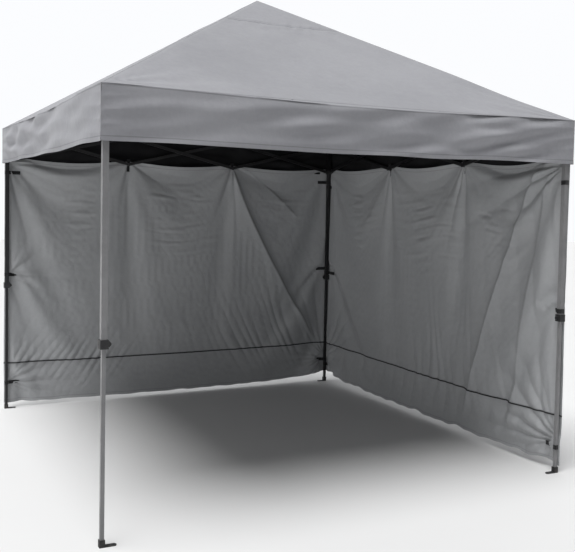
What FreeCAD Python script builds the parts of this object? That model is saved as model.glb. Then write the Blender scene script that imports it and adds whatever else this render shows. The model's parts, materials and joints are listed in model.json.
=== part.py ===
"""Pop-up canopy tent, 3 x 3 m, with two side walls on a folding scissor frame.

Millimetres. The origin is on the ground under the peak, X runs along the front, the front is at -Y and
Z is up. Each sub-part is one node, written to parts/NODE.step. Corner pieces are made once per corner and
truss bars once per side and end.
"""
import FreeCAD, Part
import math
import os

from FreeCAD import Vector

# Overall sizes
WIDTH = 3000.0  # over the valances, both ways
PEAK_HEIGHT = 3099.0
EAVE_HEIGHT = 2231.0
VALANCE_HEIGHT = 272.0
CLOTH = 1.0  # thickness that stands for a sheet of fabric
LEG_INSET = 32.0  # leg's axis to the valance's outer face

# Legs: an inner square tube slides in an outer one
OUTER_TUBE = 30.0
OUTER_WALL = 0.8
LEG_TOP_BELOW_EAVE = 9.0
LEG_SPLIT_HEIGHT = 975.0  # bottom of the outer tube
TUBE_GAP = 4.2  # between the outer tube's bore and the inner tube, filled by guides
INNER_WALL = 0.8
LEG_OVERLAP = 240.0  # inner tube left inside the outer one when extended

# Feet
FOOT_PLATE = 5.0
FOOT_WALL = 4.0
FOOT_SOCKET_HEIGHT = 36.0
FOOT_TAB_LENGTH = 60.0  # leg's axis to the centre of the tab's round end
STAKE_HOLE_RADIUS = 6.0
TIE_HOLE_RADIUS = 3.5
STAKE_HOLE_FROM_SOCKET = 21.0
TIE_HOLE_FROM_SOCKET = 45.0

# Collar and height lock at the bottom of the outer tube
COLLAR_WALL = 6.0
COLLAR_HEIGHT = 44.0
COLLAR_BELOW = 7.0  # how far it reaches under the outer tube
COLLAR_BORE_GAP = 0.5
LOCK_HOUSING_DEPTH = 8.0
LOCK_HOUSING_WALL = 3.0
LOCK_WIDTH = 16.0
LOCK_HEIGHT = 21.0
LOCK_STICKS_OUT = 9.0
LOCK_TRAVEL = 4.0
LOCK_GAP = 0.3
OVERLAP = 1.0  # how far a piece is drawn into the one it is joined to
OVERCUT = 1.0  # how far a hole is drawn past the faces it goes through

# Truss: three crossed pairs of bars on each side
TRUSS_DEPTH = 226.0  # top pivots to bottom pivots
TRUSS_TOP_BELOW_EAVE = 21.0
TRUSS_PIVOT_OFFSET = 38.0  # leg's axis to the first pivot
CROSSES_PER_SIDE = 3
BAR_HEIGHT = 24.0
BAR_THICKNESS = 11.0
BAR_WALL = 0.6
BAR_PLUG = 14.0  # solid end plug, measured from the bar's end
BAR_OVERHANG = 9.0  # past its end pivot
LAYER_GAP = 2.0  # between the two layers of bars

# Pins and rivets
PIN_RADIUS = 3.0
PIN_CLEARANCE = 0.15
HEAD_RADIUS = 6.5
HEAD_HEIGHT = 1.5
HEAD_GAP = 0.3
BOSS_RADIUS = 7.5

# Top brackets and sliders
BRACKET_WALL = 5.0
BRACKET_HEIGHT = 62.0
BRACKET_CAP = 4.0
SLIDER_WALL = 6.0
SLIDER_HEIGHT = 44.0
SLIDER_GAP = 0.4
FORK_PLATE = 4.0
FORK_GAP = 0.8
FORK_RADIUS = 13.0
FORK_ROOT = 2.0  # plates start this far outside the leg's face

# Roof poles, each an outer and an inner half with an elbow between them
POLE_TO_CLOTH = 4.6  # from the elbow's highest corner straight up to the fabric
POLE_BRACKET_OFFSET = 40.0  # leg's axis to the pole's pivot, in X and in Y
POLE_HUB_OFFSET = 52.0  # hub's axis to the pole's pivot, along the diagonal
OUTER_POLE = 20.0
INNER_POLE = 18.0
POLE_WALL = 0.7
POLE_PLUG = 16.0
POLE_OVERHANG = 8.0
ELBOW_RISE = 11.5  # elbow pin above the poles' axis
ELBOW_PLATE = 3.0
ELBOW_LENGTH = 60.0
ELBOW_BACK = 12.0  # outer tube stops this far before the elbow pin
ELBOW_RADIUS = 6.0
ELBOW_CREST = 3.0  # cheeks' highest corner above the pin
ELBOW_RAMP = 11.0  # inner pole's tongue, measured from the pin
POLE_FORK_RADIUS = 9.0
POLE_FORK_ROOT = 10.0  # plates' height at the leg's axis
POLE_FORK_FLOOR = 5.0
POLE_FORK_FLOOR_BACK = 17.0  # floor stops this far before the pin, clear of the folded pole

# Hub under the peak
HUB_CORE = 52.0
HUB_HEIGHT = 30.0
HUB_ARM_ROOT = 13.0  # plates start this far from the hub's axis
CUSHION_RADIUS = 34.0
CUSHION_TOP_RADIUS = 8.0
CUSHION_POST_RADIUS = 17.0
CUSHION_TO_CLOTH = 6.0  # straight up

# Side walls, hung outside the legs and inside the valance
WALL_TO_COLLAR = 2.0
WALL_BELOW_VALANCE = 4.0  # wall's top edge below the valance's hem
WALL_BOTTOM = 40.0
STRAP_HEIGHT = 28.0
STRAP_THICKNESS = 1.5
STRAP_GAP = 0.5
TOP_STRAP_DROP = 70.0  # below the wall's top edge
MIDDLE_STRAP_RISE = 100.0  # above the bottom of the outer tube
LOW_STRAP_HEIGHT = 205.0
RIGHT_STRAP_DROP = 42.0  # right wall's straps sit this far below the back wall's
LOOP_WIDTH = 25.0
LOOP_HEIGHT = 12.0

# Worked out from the sizes above
UP = Vector(0, 0, 1)
LEG_HALF = WIDTH / 2 - LEG_INSET
LEG_TOP = EAVE_HEIGHT - LEG_TOP_BELOW_EAVE
INNER_TUBE = OUTER_TUBE - 2 * OUTER_WALL - 2 * TUBE_GAP
TRUSS_TOP = EAVE_HEIGHT - TRUSS_TOP_BELOW_EAVE
TRUSS_BOTTOM = TRUSS_TOP - TRUSS_DEPTH
BAY = 2 * (LEG_HALF - TRUSS_PIVOT_OFFSET) / CROSSES_PER_SIDE
BAR_LENGTH = math.hypot(BAY, TRUSS_DEPTH)
LAYER_OFFSET = (BAR_THICKNESS + LAYER_GAP) / 2
TRUSS_HALF_THICKNESS = LAYER_OFFSET + BAR_THICKNESS / 2
FORK_INNER = TRUSS_HALF_THICKNESS + FORK_GAP
PIN_HOLE_RADIUS = PIN_RADIUS + PIN_CLEARANCE
HIP_SLOPE = math.atan2(PEAK_HEIGHT - EAVE_HEIGHT, WIDTH / 2 * math.sqrt(2))
PANEL_SLOPE = math.atan2(PEAK_HEIGHT - EAVE_HEIGHT, WIDTH / 2)
POLE_DROP = (
    (ELBOW_RISE + ELBOW_RADIUS) / math.cos(HIP_SLOPE)
    + (OUTER_POLE / 2 + ELBOW_PLATE) * math.tan(HIP_SLOPE)
    + CLOTH / math.cos(PANEL_SLOPE)
    + POLE_TO_CLOTH
)
POLE_BRACKET_RADIUS = (LEG_HALF - POLE_BRACKET_OFFSET) * math.sqrt(2)
POLE_BRACKET_HEIGHT = PEAK_HEIGHT - POLE_BRACKET_RADIUS * math.tan(HIP_SLOPE) - POLE_DROP
POLE_HUB_HEIGHT = PEAK_HEIGHT - POLE_HUB_OFFSET * math.tan(HIP_SLOPE) - POLE_DROP
POLE_LENGTH = (POLE_BRACKET_RADIUS - POLE_HUB_OFFSET) / math.cos(HIP_SLOPE)
COLLAR_BOTTOM = LEG_SPLIT_HEIGHT - COLLAR_BELOW
COLLAR_HALF = OUTER_TUBE / 2 + COLLAR_WALL
WALL_PLANE_OFFSET = COLLAR_HALF + WALL_TO_COLLAR
WALL_TOP = EAVE_HEIGHT - VALANCE_HEIGHT - WALL_BELOW_VALANCE
STRAP_HEIGHTS = (WALL_TOP - TOP_STRAP_DROP, LEG_SPLIT_HEIGHT + MIDDLE_STRAP_RISE, LOW_STRAP_HEIGHT)
LOCK_CENTRE_HEIGHT = COLLAR_BOTTOM + COLLAR_HEIGHT / 2
FOOT_HALF = INNER_TUBE / 2 + FOOT_WALL
STAKE_HOLE_OFFSET = FOOT_HALF + STAKE_HOLE_FROM_SOCKET
TIE_HOLE_OFFSET = FOOT_HALF + TIE_HOLE_FROM_SOCKET

CORNERS = {
    "front_left": (-1, -1),
    "front_right": (1, -1),
    "back_left": (-1, 1),
    "back_right": (1, 1),
}


# Building blocks
def block(x, y, z):
    """A box from its (low, high) pairs along X, Y and Z."""
    return Part.makeBox(x[1] - x[0], y[1] - y[0], z[1] - z[0], Vector(x[0], y[0], z[0]))


def pillar(half, z):
    """A square pillar on the Z axis."""
    return block((-half, half), (-half, half), z)


def rod(radius, start, end):
    """A round rod from one point to another."""
    return Part.makeCylinder(radius, (end - start).Length, start, end - start)


def cross_rod(radius, x, z, half):
    """A rod along Y, as long on both sides of the XZ plane."""
    return rod(radius, Vector(x, -half, z), Vector(x, half, z))


def plate(outline, thickness):
    """A closed outline in the XZ plane, made as thick as asked along +Y."""
    return Part.Face(Part.makePolygon(outline + outline[:1])).extrude(Vector(0, thickness, 0))


def placed(shape, origin, along, across):
    """The shape moved so that its X runs along, its Y runs across and its origin is at origin."""
    x = Vector(along).normalize()
    y = Vector(across).normalize()
    z = x.cross(y)
    matrix = FreeCAD.Matrix(
        x.x, y.x, z.x, origin.x,
        x.y, y.y, z.y, origin.y,
        x.z, y.z, z.z, origin.z,
        0, 0, 0, 1,
    )
    copy = shape.copy()
    copy.Placement = FreeCAD.Placement(matrix).multiply(copy.Placement)
    return copy


def cut(shape, *tools):
    """The shape less the tools."""
    for tool in tools:
        shape = shape.cut(tool)
    return shape


def joined(*shapes):
    """Shapes joined into one solid, without the edges left between flush faces."""
    whole = shapes[0]
    for shape in shapes[1:]:
        whole = whole.fuse(shape)
    return whole.removeSplitter()


def write(node, *solids):
    """Write the solids of one node."""
    Part.makeCompound(list(solids)).exportStep(f"parts/{node}.step")


# Corners, in a frame whose X and Y point from the leg towards the tent's middle
def corner_frame(signs):
    """A corner's axis at the ground, its inward X and its inward Y."""
    sx, sy = signs
    return Vector(sx * LEG_HALF, sy * LEG_HALF, 0), Vector(-sx, 0, 0), Vector(0, -sy, 0)


def at_corner(shape, signs):
    """A shape drawn for the front left corner, moved or mirrored to another one."""
    sx, sy = signs
    moved = shape.copy()
    if sx > 0:
        moved = moved.mirror(Vector(0, 0, 0), Vector(1, 0, 0))
    if sy > 0:
        moved = moved.mirror(Vector(0, 0, 0), Vector(0, 1, 0))
    moved.translate(Vector(sx * LEG_HALF, sy * LEG_HALF, 0))
    return moved


def truss_layer(run, rises):
    """Which side of the truss's middle plane a bar lies on. Bars that rise along +X or +Y share one layer."""
    return LAYER_OFFSET if (run > 0) == rises else -LAYER_OFFSET


def outer_leg():
    bore = OUTER_TUBE / 2 - OUTER_WALL
    span = (LEG_SPLIT_HEIGHT, LEG_TOP)
    return cut(pillar(OUTER_TUBE / 2, span), pillar(bore, span))


def inner_leg():
    span = (FOOT_PLATE, LEG_SPLIT_HEIGHT + LEG_OVERLAP)
    return cut(pillar(INNER_TUBE / 2, span), pillar(INNER_TUBE / 2 - INNER_WALL, span))


def foot():
    """A socket on a plate, with a rounded tab that takes a stake and a tie."""
    socket = cut(
        pillar(FOOT_HALF, (0, FOOT_SOCKET_HEIGHT)),
        pillar(INNER_TUBE / 2, (FOOT_PLATE, FOOT_SOCKET_HEIGHT)),
    )
    tab_end = FOOT_TAB_LENGTH
    tab = block((0, tab_end), (-FOOT_HALF, FOOT_HALF), (0, FOOT_PLATE))
    nose = rod(FOOT_HALF, Vector(tab_end, 0, 0), Vector(tab_end, 0, FOOT_PLATE))
    holes = [
        rod(radius, Vector(x, 0, -OVERCUT), Vector(x, 0, FOOT_PLATE + OVERCUT))
        for radius, x in ((STAKE_HOLE_RADIUS, STAKE_HOLE_OFFSET), (TIE_HOLE_RADIUS, TIE_HOLE_OFFSET))
    ]
    tab = cut(joined(tab, nose), pillar(FOOT_HALF, (0, FOOT_PLATE)), *holes)
    return joined(socket, tab)


def collar():
    """Sleeve round the outer tube's end that guides the inner tube and houses the height lock."""
    span = (COLLAR_BOTTOM, COLLAR_BOTTOM + COLLAR_HEIGHT)
    lock_half = LOCK_HEIGHT / 2 + LOCK_GAP
    side = LOCK_WIDTH / 2 + LOCK_GAP
    wall = LOCK_HOUSING_WALL
    middle = LOCK_CENTRE_HEIGHT
    face = COLLAR_HALF + LOCK_HOUSING_DEPTH
    housing = block(
        (COLLAR_HALF - OVERLAP, face),
        (-side - wall, side + wall),
        (middle - lock_half - wall, middle + lock_half + wall),
    )
    pocket = block((COLLAR_HALF, face), (-side, side), (middle - lock_half, middle + lock_half))
    return cut(
        joined(pillar(COLLAR_HALF, span), housing),
        pocket,
        pillar(OUTER_TUBE / 2, (LEG_SPLIT_HEIGHT, span[1])),
        pillar(INNER_TUBE / 2 + COLLAR_BORE_GAP, (span[0], LEG_SPLIT_HEIGHT)),
    )


def lock_button():
    """A D-shaped push button: flat towards the leg, round outside."""
    base = COLLAR_HALF + LOCK_TRAVEL + LOCK_GAP
    edge = COLLAR_HALF + LOCK_HOUSING_DEPTH
    low = LOCK_CENTRE_HEIGHT - LOCK_HEIGHT / 2
    high = LOCK_CENTRE_HEIGHT + LOCK_HEIGHT / 2
    side = LOCK_WIDTH / 2
    corners = [
        Vector(edge, -side, high),
        Vector(base, -side, high),
        Vector(base, -side, low),
        Vector(edge, -side, low),
    ]
    crown = Vector(edge + LOCK_STICKS_OUT, -side, LOCK_CENTRE_HEIGHT)
    curve = Part.Arc(corners[3], crown, corners[0]).toShape()
    profile = Part.Wire([Part.makePolygon(corners), curve])
    return Part.Face(profile).extrude(Vector(0, 2 * side, 0))


def fork(height, inward_x, layer):
    """Two plates and a spacer that hold the end of one truss bar, on a sleeve centred on the leg.

    inward_x says whether the bars run along X, and layer is the bar's offset across them.
    """
    reach = TRUSS_PIVOT_OFFSET
    hub = rod(FORK_RADIUS, Vector(reach, FORK_INNER, height), Vector(reach, FORK_INNER + FORK_PLATE, height))
    arm = block((OUTER_TUBE / 2 + FORK_ROOT, reach), (FORK_INNER, FORK_INNER + FORK_PLATE),
                (height - FORK_RADIUS, height + FORK_RADIUS))
    near = joined(arm, hub)
    far = near.mirror(Vector(0, 0, 0), Vector(0, 1, 0))
    side = -1 if layer > 0 else 1
    boss = rod(BOSS_RADIUS, Vector(reach, side * FORK_INNER, height), Vector(reach, side * HEAD_GAP, height))
    pieces = [near, far, boss]
    if not inward_x:
        pieces = [swapped(piece) for piece in pieces]
    return pieces


def swapped(shape):
    """The shape with X and Y exchanged."""
    return shape.mirror(Vector(0, 0, 0), Vector(1, -1, 0))


def fork_pin(height, inward_x):
    end = FORK_INNER + FORK_PLATE + HEAD_HEIGHT
    x = TRUSS_PIVOT_OFFSET
    pin = rod(PIN_RADIUS, Vector(x, -end, height), Vector(x, end, height))
    heads = [
        rod(HEAD_RADIUS, Vector(x, s * (end - HEAD_HEIGHT), height), Vector(x, s * end, height))
        for s in (-1, 1)
    ]
    whole = joined(pin, *heads)
    return whole if inward_x else swapped(whole)


def corner_layers(signs, rises):
    """The layers of the bars that meet a corner's bracket or slider, for the X side and the Y side.

    Drawn for the front left corner, so a mirrored corner takes the mirrored layer.
    """
    sx, sy = signs
    along_x = truss_layer(-sx, rises) * -sy
    along_y = truss_layer(-sy, rises) * -sx
    return along_x, along_y


def sleeve_with_forks(half, bore, span, height, signs, rises):
    """A sleeve on the leg with one fork for the truss along X and one for the truss along Y."""
    along_x, along_y = corner_layers(signs, rises)
    pieces = fork(height, True, along_x) + fork(height, False, along_y)
    return cut(joined(pillar(half, span), *pieces), pillar(bore, span))


def pole_fork():
    """Two plates on the bracket's cap, with a floor between them, that hold the roof pole's outer end."""
    inner = OUTER_POLE / 2 + FORK_GAP
    reach = POLE_BRACKET_OFFSET * math.sqrt(2)
    height = POLE_BRACKET_HEIGHT
    cap = LEG_TOP + BRACKET_CAP
    radius = POLE_FORK_RADIUS
    outline = [
        Vector(0, inner, cap),
        Vector(reach, inner, height - radius),
        Vector(reach, inner, height + radius),
        Vector(0, inner, cap + POLE_FORK_ROOT),
    ]
    web = plate(outline, FORK_PLATE)
    eye = rod(radius, Vector(reach, inner, height), Vector(reach, inner + FORK_PLATE, height))
    near = joined(web, eye)
    far = near.mirror(Vector(0, 0, 0), Vector(0, 1, 0))
    floor = block((0, reach - POLE_FORK_FLOOR_BACK), (-inner, inner), (cap, cap + POLE_FORK_FLOOR))
    return [turned(near), turned(far), turned(floor)]


def turned(shape, angle=45):
    """A shape drawn along X, turned about the Z axis."""
    copy = shape.copy()
    copy.rotate(Vector(0, 0, 0), UP, angle)
    return copy


def pole_pin():
    end = OUTER_POLE / 2 + FORK_GAP + FORK_PLATE + HEAD_HEIGHT
    reach = POLE_BRACKET_OFFSET * math.sqrt(2)
    return turned(cross_rod(PIN_RADIUS, reach, POLE_BRACKET_HEIGHT, end))


def top_bracket(signs):
    """Cap on the leg that holds two truss bars and the roof pole, with its three pins."""
    top = LEG_TOP + BRACKET_CAP
    span = (top - BRACKET_HEIGHT, LEG_TOP)
    half = OUTER_TUBE / 2 + BRACKET_WALL
    body = sleeve_with_forks(half, OUTER_TUBE / 2, span, TRUSS_TOP, signs, False)
    body = joined(body, pillar(half, (LEG_TOP, top)), *pole_fork())
    body = cut(body, pillar(OUTER_TUBE / 2, span))
    pins = [fork_pin(TRUSS_TOP, True), fork_pin(TRUSS_TOP, False), pole_pin()]
    return [cut(body, *pins)] + pins


def slider(signs):
    """Sleeve that runs on the leg and holds the lower ends of two truss bars, with its two pins."""
    span = (TRUSS_BOTTOM - SLIDER_HEIGHT / 2, TRUSS_BOTTOM + SLIDER_HEIGHT / 2)
    bore = OUTER_TUBE / 2 + SLIDER_GAP
    body = sleeve_with_forks(bore + SLIDER_WALL, bore, span, TRUSS_BOTTOM, signs, True)
    pins = [fork_pin(TRUSS_BOTTOM, True), fork_pin(TRUSS_BOTTOM, False)]
    return [cut(body, *pins)] + pins


# Truss bars, drawn along X with their thickness across Y and their first pivot at the origin
def bar_body(holes):
    """A closed-ended rectangular tube with a hole of each (distance, radius)."""
    low, high = -BAR_OVERHANG, BAR_LENGTH + BAR_OVERHANG
    half = BAR_THICKNESS / 2
    solid = block((low, high), (-half, half), (-BAR_HEIGHT / 2, BAR_HEIGHT / 2))
    inside_y = half - BAR_WALL
    inside_z = BAR_HEIGHT / 2 - BAR_WALL
    middle = BAR_LENGTH / 2
    for start, end in ((low + BAR_PLUG, middle - BAR_PLUG / 2), (middle + BAR_PLUG / 2, high - BAR_PLUG)):
        solid = solid.cut(block((start, end), (-inside_y, inside_y), (-inside_z, inside_z)))
    return cut(solid, *[cross_rod(radius, x, 0, half + OVERCUT) for x, radius in holes])


def rivet(distance, across):
    """A rivet through both layers, fixed in this bar. across is +1 or -1 towards the other layer."""
    near = -across * (BAR_THICKNESS / 2)
    far = across * (BAR_THICKNESS / 2 + LAYER_GAP + BAR_THICKNESS + HEAD_GAP)
    shaft = rod(PIN_RADIUS, Vector(distance, near, 0), Vector(distance, far, 0))
    heads = [
        rod(HEAD_RADIUS, Vector(distance, y, 0), Vector(distance, y + s * HEAD_HEIGHT, 0))
        for y, s in ((near, -across), (far, across))
    ]
    return joined(shaft, *heads)


def stub(distance, across):
    """A rivet that stays within its own bar, at a pivot left open."""
    near = -across * (BAR_THICKNESS / 2)
    shaft = rod(PIN_RADIUS, Vector(distance, near, 0), Vector(distance, -near, 0))
    head = rod(HEAD_RADIUS, Vector(distance, near, 0), Vector(distance, near - across * HEAD_HEIGHT, 0))
    return joined(shaft, head)


def truss_bar(kind, across):
    """The solids of one bar. falling holds the rivets of its two partners; the others have open ends."""
    middle, end = BAR_LENGTH / 2, BAR_LENGTH
    if kind == "falling":
        holes = [(0, PIN_HOLE_RADIUS), (middle, PIN_RADIUS), (end, PIN_RADIUS)]
        rivets = [rivet(middle, across), rivet(end, across)]
    elif kind == "rising":
        holes = [(0, PIN_HOLE_RADIUS), (middle, PIN_HOLE_RADIUS), (end, PIN_RADIUS)]
        rivets = [stub(end, across)]
    else:
        holes = [(0, PIN_HOLE_RADIUS), (middle, PIN_RADIUS), (end, PIN_RADIUS)]
        rivets = [stub(middle, across), stub(end, across)]
    return [bar_body(holes)] + rivets


def truss_bars(corner, signs):
    """The three bars that a corner gives to each of its two sides."""
    base, inward_x, inward_y = corner_frame(signs)
    names = corner.split("_")
    for inward, side, end in ((inward_x, names[0], names[1]), (inward_y, names[1], names[0])):
        run = inward.x + inward.y
        normal = Vector(abs(inward.y), abs(inward.x), 0)
        first = base + inward * TRUSS_PIVOT_OFFSET
        far = first + inward * BAY
        ends = {
            "falling": (first + UP * TRUSS_TOP, far + UP * TRUSS_BOTTOM),
            "rising": (first + UP * TRUSS_BOTTOM, far + UP * TRUSS_TOP),
            "middle": (far + UP * TRUSS_BOTTOM, far + inward * BAY + UP * TRUSS_TOP),
        }
        for kind, (start, stop) in ends.items():
            layer = truss_layer(run, kind != "falling")
            across = -1 if layer > 0 else 1
            solids = truss_bar(kind, across)
            origin = start + normal * layer
            write(f"truss_{side}_{end}_{kind}", *[placed(s, origin, stop - start, normal) for s in solids])


# Roof poles, drawn along X from the bracket's pin to the hub's pin, with Z away from the ground
def pole_tube(side, start, end):
    """A square tube with plugged ends."""
    half = side / 2
    inside = half - POLE_WALL
    hollow = block((start + POLE_PLUG, end - POLE_PLUG), (-inside, inside), (-inside, inside))
    return cut(block((start, end), (-half, half), (-half, half)), hollow)


def outer_pole():
    """Half of a roof pole with the elbow's two cheeks and its pin."""
    elbow = POLE_LENGTH / 2
    half = OUTER_POLE / 2
    cheek_half = half + ELBOW_PLATE
    tube = pole_tube(OUTER_POLE, -POLE_OVERHANG, elbow - ELBOW_BACK)
    outline = [
        Vector(elbow - ELBOW_LENGTH, half, -half),
        Vector(elbow - ELBOW_BACK, half, -half),
        Vector(elbow + ELBOW_RADIUS, half, ELBOW_RISE),
        Vector(elbow - ELBOW_RADIUS, half, ELBOW_RISE + ELBOW_CREST),
        Vector(elbow - ELBOW_LENGTH, half, half),
    ]
    web = plate(outline, ELBOW_PLATE)
    eye = rod(ELBOW_RADIUS, Vector(elbow, half, ELBOW_RISE), Vector(elbow, cheek_half, ELBOW_RISE))
    cheek = joined(web, eye)
    pin = cross_rod(PIN_RADIUS, elbow, ELBOW_RISE, cheek_half)
    body = joined(tube, cheek, cheek.mirror(Vector(0, 0, 0), Vector(0, 1, 0)))
    body = cut(body, pin, cross_rod(PIN_HOLE_RADIUS, 0, 0, cheek_half))
    return [body, pin]


def inner_pole():
    """The other half, with the tongue that the elbow's pin goes through."""
    elbow = POLE_LENGTH / 2
    half = INNER_POLE / 2
    tube = pole_tube(INNER_POLE, elbow + HEAD_GAP, POLE_LENGTH + POLE_OVERHANG)
    eye = rod(ELBOW_RADIUS, Vector(elbow, -half, ELBOW_RISE), Vector(elbow, half, ELBOW_RISE))
    low = ELBOW_RISE - ELBOW_RADIUS
    ramp_end = elbow + ELBOW_RAMP
    outline = [
        Vector(elbow + HEAD_GAP, -half, low),
        Vector(ramp_end, -half, low),
        Vector(ramp_end, -half, half),
        Vector(elbow + HEAD_GAP, -half, ELBOW_RISE + ELBOW_RADIUS),
    ]
    tongue = joined(plate(outline, INNER_POLE), eye)
    body = joined(tube, tongue)
    holes = [
        cross_rod(PIN_HOLE_RADIUS, elbow, ELBOW_RISE, half + OVERCUT),
        cross_rod(PIN_HOLE_RADIUS, POLE_LENGTH, 0, half + OVERCUT),
    ]
    return [cut(body, *holes)]


def roof_poles(corner, signs):
    sx, sy = signs
    inward = Vector(-sx, -sy, 0).normalize()
    start = Vector(0, 0, POLE_BRACKET_HEIGHT) - inward * POLE_BRACKET_RADIUS
    along = inward * math.cos(HIP_SLOPE) + UP * math.sin(HIP_SLOPE)
    across = UP.cross(inward)
    for name, solids in (("outer", outer_pole()), ("inner", inner_pole())):
        write(f"{name}_roof_pole_{corner}", *[placed(s, start, along, across) for s in solids])


def hub_arm():
    """Fork along X for one roof pole's inner end."""
    inner = INNER_POLE / 2 + FORK_GAP
    radius = POLE_FORK_RADIUS
    z = POLE_HUB_HEIGHT
    arm = block((HUB_ARM_ROOT, POLE_HUB_OFFSET), (inner, inner + FORK_PLATE), (z - radius, z + radius))
    eye = rod(radius, Vector(POLE_HUB_OFFSET, inner, z), Vector(POLE_HUB_OFFSET, inner + FORK_PLATE, z))
    near = joined(arm, eye)
    return [near, near.mirror(Vector(0, 0, 0), Vector(0, 1, 0))]


def roof_hub():
    """Cross-shaped casting under the peak, its four pins and the cushion that lifts the fabric."""
    z = POLE_HUB_HEIGHT
    top = z + HUB_HEIGHT / 2
    end = INNER_POLE / 2 + FORK_GAP + FORK_PLATE + HEAD_HEIGHT
    pin = cross_rod(PIN_RADIUS, POLE_HUB_OFFSET, z, end)
    arms, pins = [], []
    for quarter in range(4):
        angle = 45 + 90 * quarter
        arms += [turned(plate, angle) for plate in hub_arm()]
        pins.append(turned(pin, angle))
    core = pillar(HUB_CORE / 2, (z - HUB_HEIGHT / 2, top))
    cloth_above = PEAK_HEIGHT - CLOTH / math.cos(PANEL_SLOPE) - CUSHION_TO_CLOTH
    cushion_base = cloth_above - CUSHION_RADIUS * math.tan(PANEL_SLOPE)
    cushion_height = (CUSHION_RADIUS - CUSHION_TOP_RADIUS) * math.tan(PANEL_SLOPE)
    cushion = Part.makeCone(CUSHION_RADIUS, CUSHION_TOP_RADIUS, cushion_height, Vector(0, 0, cushion_base))
    post = rod(CUSHION_POST_RADIUS, Vector(0, 0, top), Vector(0, 0, cushion_base))
    casting = cut(joined(core, *arms), *pins)
    return [casting, joined(post, cushion)] + pins


# Fabric
def pyramid_on_box(half, bottom, eave, peak):
    """A square box with a pyramid on it."""
    base = [Vector(x * half, y * half, eave) for x, y in ((-1, -1), (1, -1), (1, 1), (-1, 1))]
    tip = Vector(0, 0, peak)
    faces = [Part.Face(Part.makePolygon(base + base[:1]))]
    for first, second in zip(base, base[1:] + base[:1]):
        faces.append(Part.Face(Part.makePolygon([first, second, tip, first])))
    roof = Part.makeSolid(Part.makeShell(faces))
    return joined(pillar(half, (bottom, eave)), roof)


def canopy():
    """Four roof panels and four valances in one skin, open below."""
    half = WIDTH / 2
    bottom = EAVE_HEIGHT - VALANCE_HEIGHT
    drop = CLOTH / math.cos(PANEL_SLOPE) - CLOTH * math.tan(PANEL_SLOPE)
    inside_peak = PEAK_HEIGHT - CLOTH / math.cos(PANEL_SLOPE)
    outside = pyramid_on_box(half, bottom, EAVE_HEIGHT, PEAK_HEIGHT)
    inside = pyramid_on_box(half - CLOTH, bottom - OVERCUT, EAVE_HEIGHT - drop, inside_peak)
    return outside.cut(inside)


def strap(height):
    """A strap round a leg at the origin, closed against a wall on its +Y side."""
    tube = OUTER_TUBE if height > LEG_SPLIT_HEIGHT else INNER_TUBE
    inner = tube / 2 + STRAP_GAP
    outer = inner + STRAP_THICKNESS
    span = (height - STRAP_HEIGHT / 2, height + STRAP_HEIGHT / 2)
    tail = block((-STRAP_THICKNESS / 2, STRAP_THICKNESS / 2), (outer, WALL_PLANE_OFFSET), span)
    return joined(cut(pillar(outer, span), pillar(inner, span)), tail)


def side_wall(strap_drop):
    """A wall along X with its straps at both ends and two loops at its top, on the +Y side."""
    end = LEG_HALF + OUTER_TUBE / 2
    face = LEG_HALF + WALL_PLANE_OFFSET
    panel = block((-end, end), (face, face + CLOTH), (WALL_BOTTOM, WALL_TOP))
    solids = [panel]
    for height in STRAP_HEIGHTS:
        for side in (-1, 1):
            piece = strap(height - strap_drop)
            piece.translate(Vector(side * LEG_HALF, LEG_HALF, 0))
            solids.append(piece)
    for side in (-1, 1):
        middle = side * BAY / 2
        x = (middle - LOOP_WIDTH / 2, middle + LOOP_WIDTH / 2)
        solids.append(block(x, (face, face + CLOTH), (WALL_TOP, WALL_TOP + LOOP_HEIGHT)))
    return solids


def main():
    os.makedirs("parts", exist_ok=True)
    write("roof_canopy", canopy())
    write("roof_hub", *roof_hub())
    write("back_wall", *side_wall(0))
    write("right_wall", *[swapped(s) for s in side_wall(RIGHT_STRAP_DROP)])
    for corner, signs in CORNERS.items():
        write(f"outer_leg_{corner}", at_corner(outer_leg(), signs))
        write(f"inner_leg_{corner}", at_corner(inner_leg(), signs))
        write(f"foot_{corner}", at_corner(foot(), signs))
        fittings = [collar()] + top_bracket(signs)
        write(f"leg_fittings_{corner}", *[at_corner(s, signs) for s in fittings])
        write(f"lock_button_{corner}", at_corner(lock_button(), signs))
        write(f"slider_{corner}", *[at_corner(s, signs) for s in slider(signs)])
        roof_poles(corner, signs)
        truss_bars(corner, signs)


main()
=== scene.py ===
"""Looks of the pop-up canopy tent: fabric roof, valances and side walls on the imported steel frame."""

import json
import math

import bpy
import numpy as np
from mathutils import Matrix, Vector


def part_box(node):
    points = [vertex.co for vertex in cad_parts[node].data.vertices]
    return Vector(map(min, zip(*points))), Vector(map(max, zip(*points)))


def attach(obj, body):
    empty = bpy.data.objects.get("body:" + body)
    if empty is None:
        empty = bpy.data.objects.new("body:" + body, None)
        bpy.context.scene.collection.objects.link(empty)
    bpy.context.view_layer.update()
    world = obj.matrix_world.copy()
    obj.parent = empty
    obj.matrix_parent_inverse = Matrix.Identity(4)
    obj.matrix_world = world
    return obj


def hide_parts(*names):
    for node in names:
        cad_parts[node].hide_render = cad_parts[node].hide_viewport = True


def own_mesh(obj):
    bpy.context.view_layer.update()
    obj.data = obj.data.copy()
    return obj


# Sizes in metres, in the row frame: ground centre, X along the front, front at -Y, Z up
CAMERA_AT = (-2.513, -5.363, 1.679)
CAMERA_YAW, CAMERA_PITCH, CAMERA_ROLL = 25.783, -2.751, 1.06
CAMERA_LENS = 52.14
CAMERA_SHIFT = (0.0435, -0.0569)
THICK = 0.001
CAP_STEP = HEM_STEP = 0.0012
EAVE_SAG = 0.022
HEM_DEPTH = 0.024
CAP_REACH = 0.42
PIPING_HEIGHT = 0.372
PIPING_RADIUS = 0.0045
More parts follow.
